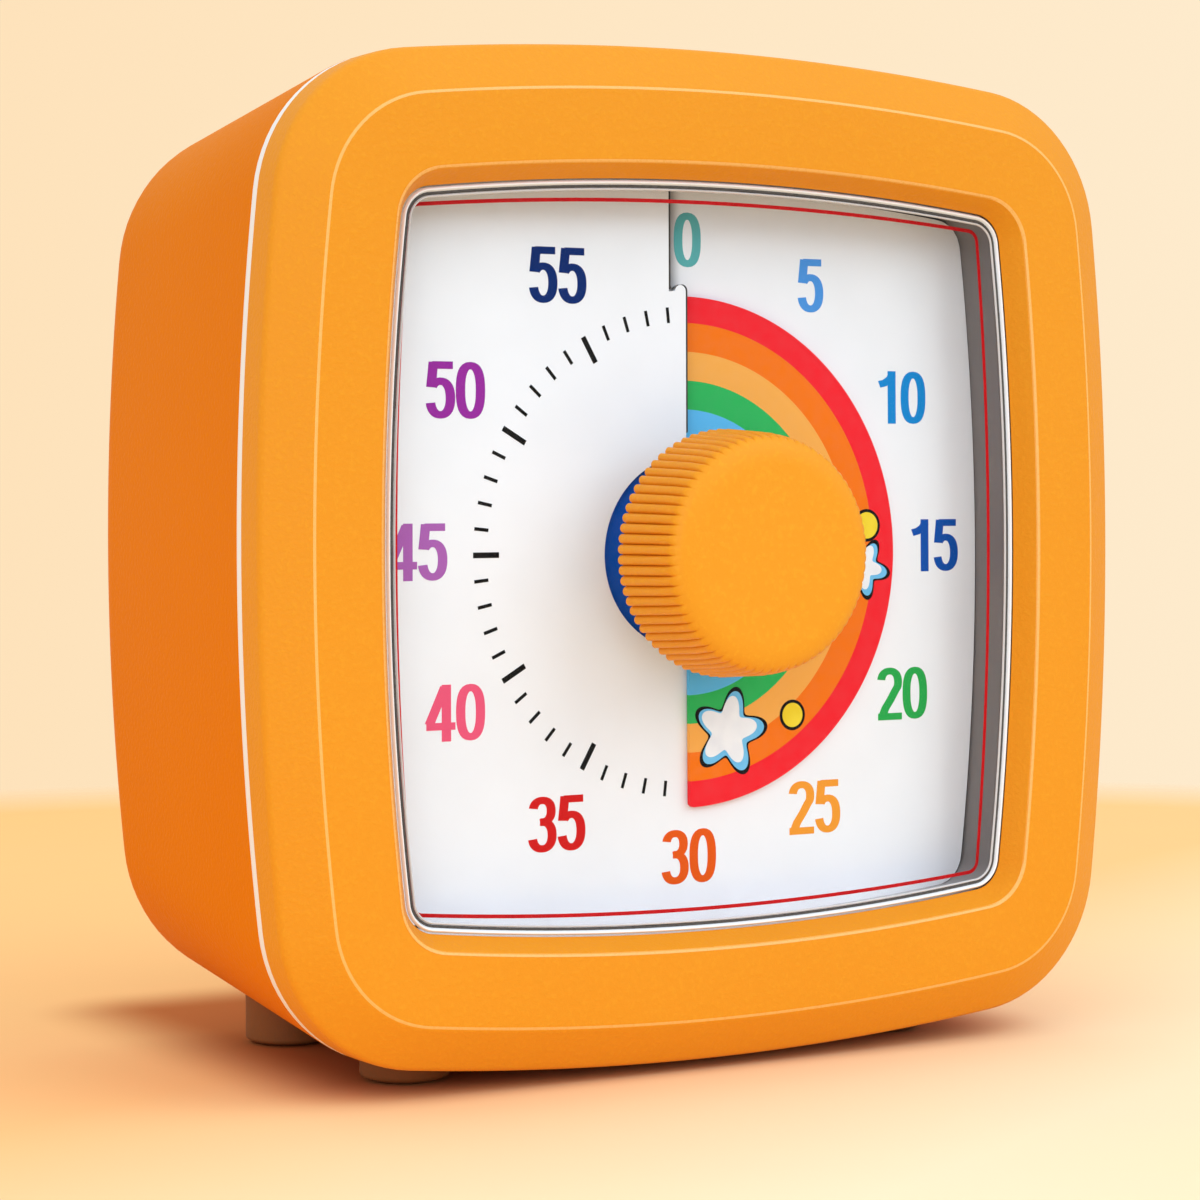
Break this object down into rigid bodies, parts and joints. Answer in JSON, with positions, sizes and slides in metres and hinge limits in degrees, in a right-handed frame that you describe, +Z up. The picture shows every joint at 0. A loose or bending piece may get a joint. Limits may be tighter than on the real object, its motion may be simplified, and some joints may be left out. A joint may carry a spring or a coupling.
{
  "type": "visual countdown timer",
  "caption": "Free-standing sixty-minute visual countdown timer: a rounded square case, a numbered dial, a colour disc set by a front knob, and a rear battery door and sound switch.",
  "frame": {"origin": "centre of the resting plane under the timer, midway between the knob's front and the case's back", "axes": "+Z up, -Y towards the viewer of the dial, +X to the viewer's right"},
  "size_m": [0.08, 0.0474, 0.0809],
  "materials": {
    "orange_abs": "fine moulded texture",
    "pale_trim": "smooth",
    "clear_window": "polished clear plastic",
    "well_grey": "satin",
    "dial_white": "printed satin",
    "disc_print": "printed rainbow bands",
    "steel": "bright",
    "brass_part": "turned",
    "chassis_abs": "as moulded",
    "gear_acetal": "as moulded",
    "motor_can": "satin",
    "cell_jacket": "printed sleeve",
    "spring_steel": "nickel plated",
    "board_green": "solder mask",
    "black_part": "moulded",
    "foot_rubber": "matt",
    "door_abs": "fine moulded texture"
  },
  "bodies": {
    "case": {"front_bezel": "orange_abs", "seam_ring": "pale_trim", "rear_housing": "orange_abs", "window_lens": "clear_window", "dial_well": "well_grey", "dial": "dial_white", "spindle_bush": "brass_part", "chassis": "chassis_abs", "movement_case": "chassis_abs", "movement_lid": "chassis_abs", "geared_motor": "motor_can", "contact_leaf": "spring_steel", "case_screws": "steel", "bezel_screws": "steel", "movement_screws": "steel", "lid_screws": "steel", "board_screws": "steel", "battery_cell": "cell_jacket", "battery_plate_contact": "spring_steel", "battery_spring_plate": "spring_steel", "battery_spring": "spring_steel", "circuit_board": "board_green", "controller_chip": "black_part", "quartz_crystal": "steel", "capacitor": "black_part", "sounder": "black_part", "sound_switch": "black_part", "front_feet": "foot_rubber", "rear_feet": "foot_rubber"},
    "dial_drive": {"knob": "orange_abs", "spindle": "steel", "spindle_clip": "spring_steel", "spindle_wheel": "gear_acetal", "alarm_cam": "gear_acetal"},
    "disc": {"colour_disc": "disc_print"},
    "idler": {"idler_wheel": "gear_acetal", "idler_pinion": "brass_part", "idler_arbor": "steel"},
    "motor_output": {"motor_pinion": "brass_part", "motor_shaft": "steel"},
    "slider": {"sound_slider": "pale_trim"},
    "door": {"battery_door": "door_abs"}
  },
  "joints": [
    {"name": "knob_spin", "type": "hinge", "parent": "case", "child": "dial_drive", "pos_m": [0, 0, 0.0412], "axis": [0, 1, 0], "range_deg": [-180, 180]},
    {"name": "disc_slide", "type": "slide", "parent": "dial_drive", "child": "disc", "axis": [0, -1, 0], "range_m": [-0.00071, 0.00071]},
    {"name": "idler_spin", "type": "hinge", "parent": "case", "child": "idler", "pos_m": [0, 0, 0.0592], "axis": [0, 1, 0], "range_deg": [-721, 721]},
    {"name": "motor_pinion_spin", "type": "hinge", "parent": "case", "child": "motor_output", "pos_m": [-0.01061, 0, 0.04859], "axis": [0, 1, 0], "range_deg": [-2882, 2882]},
    {"name": "sound_slide", "type": "slide", "parent": "case", "child": "slider", "axis": [1, 0, 0], "range_m": [-0.002, 0.002]},
    {"name": "door_tilt", "type": "hinge", "parent": "case", "child": "door", "pos_m": [0, 0.02373, 0.01935], "axis": [1, 0, 0], "range_deg": [-75, 0]}
  ],
  "couplings": [
    {"joint": "disc_slide", "follows": "knob_spin", "m_per_rad": 0.00022282},
    {"joint": "idler_spin", "follows": "knob_spin", "ratio": -4},
    {"joint": "motor_pinion_spin", "follows": "knob_spin", "ratio": 16}
  ]
}
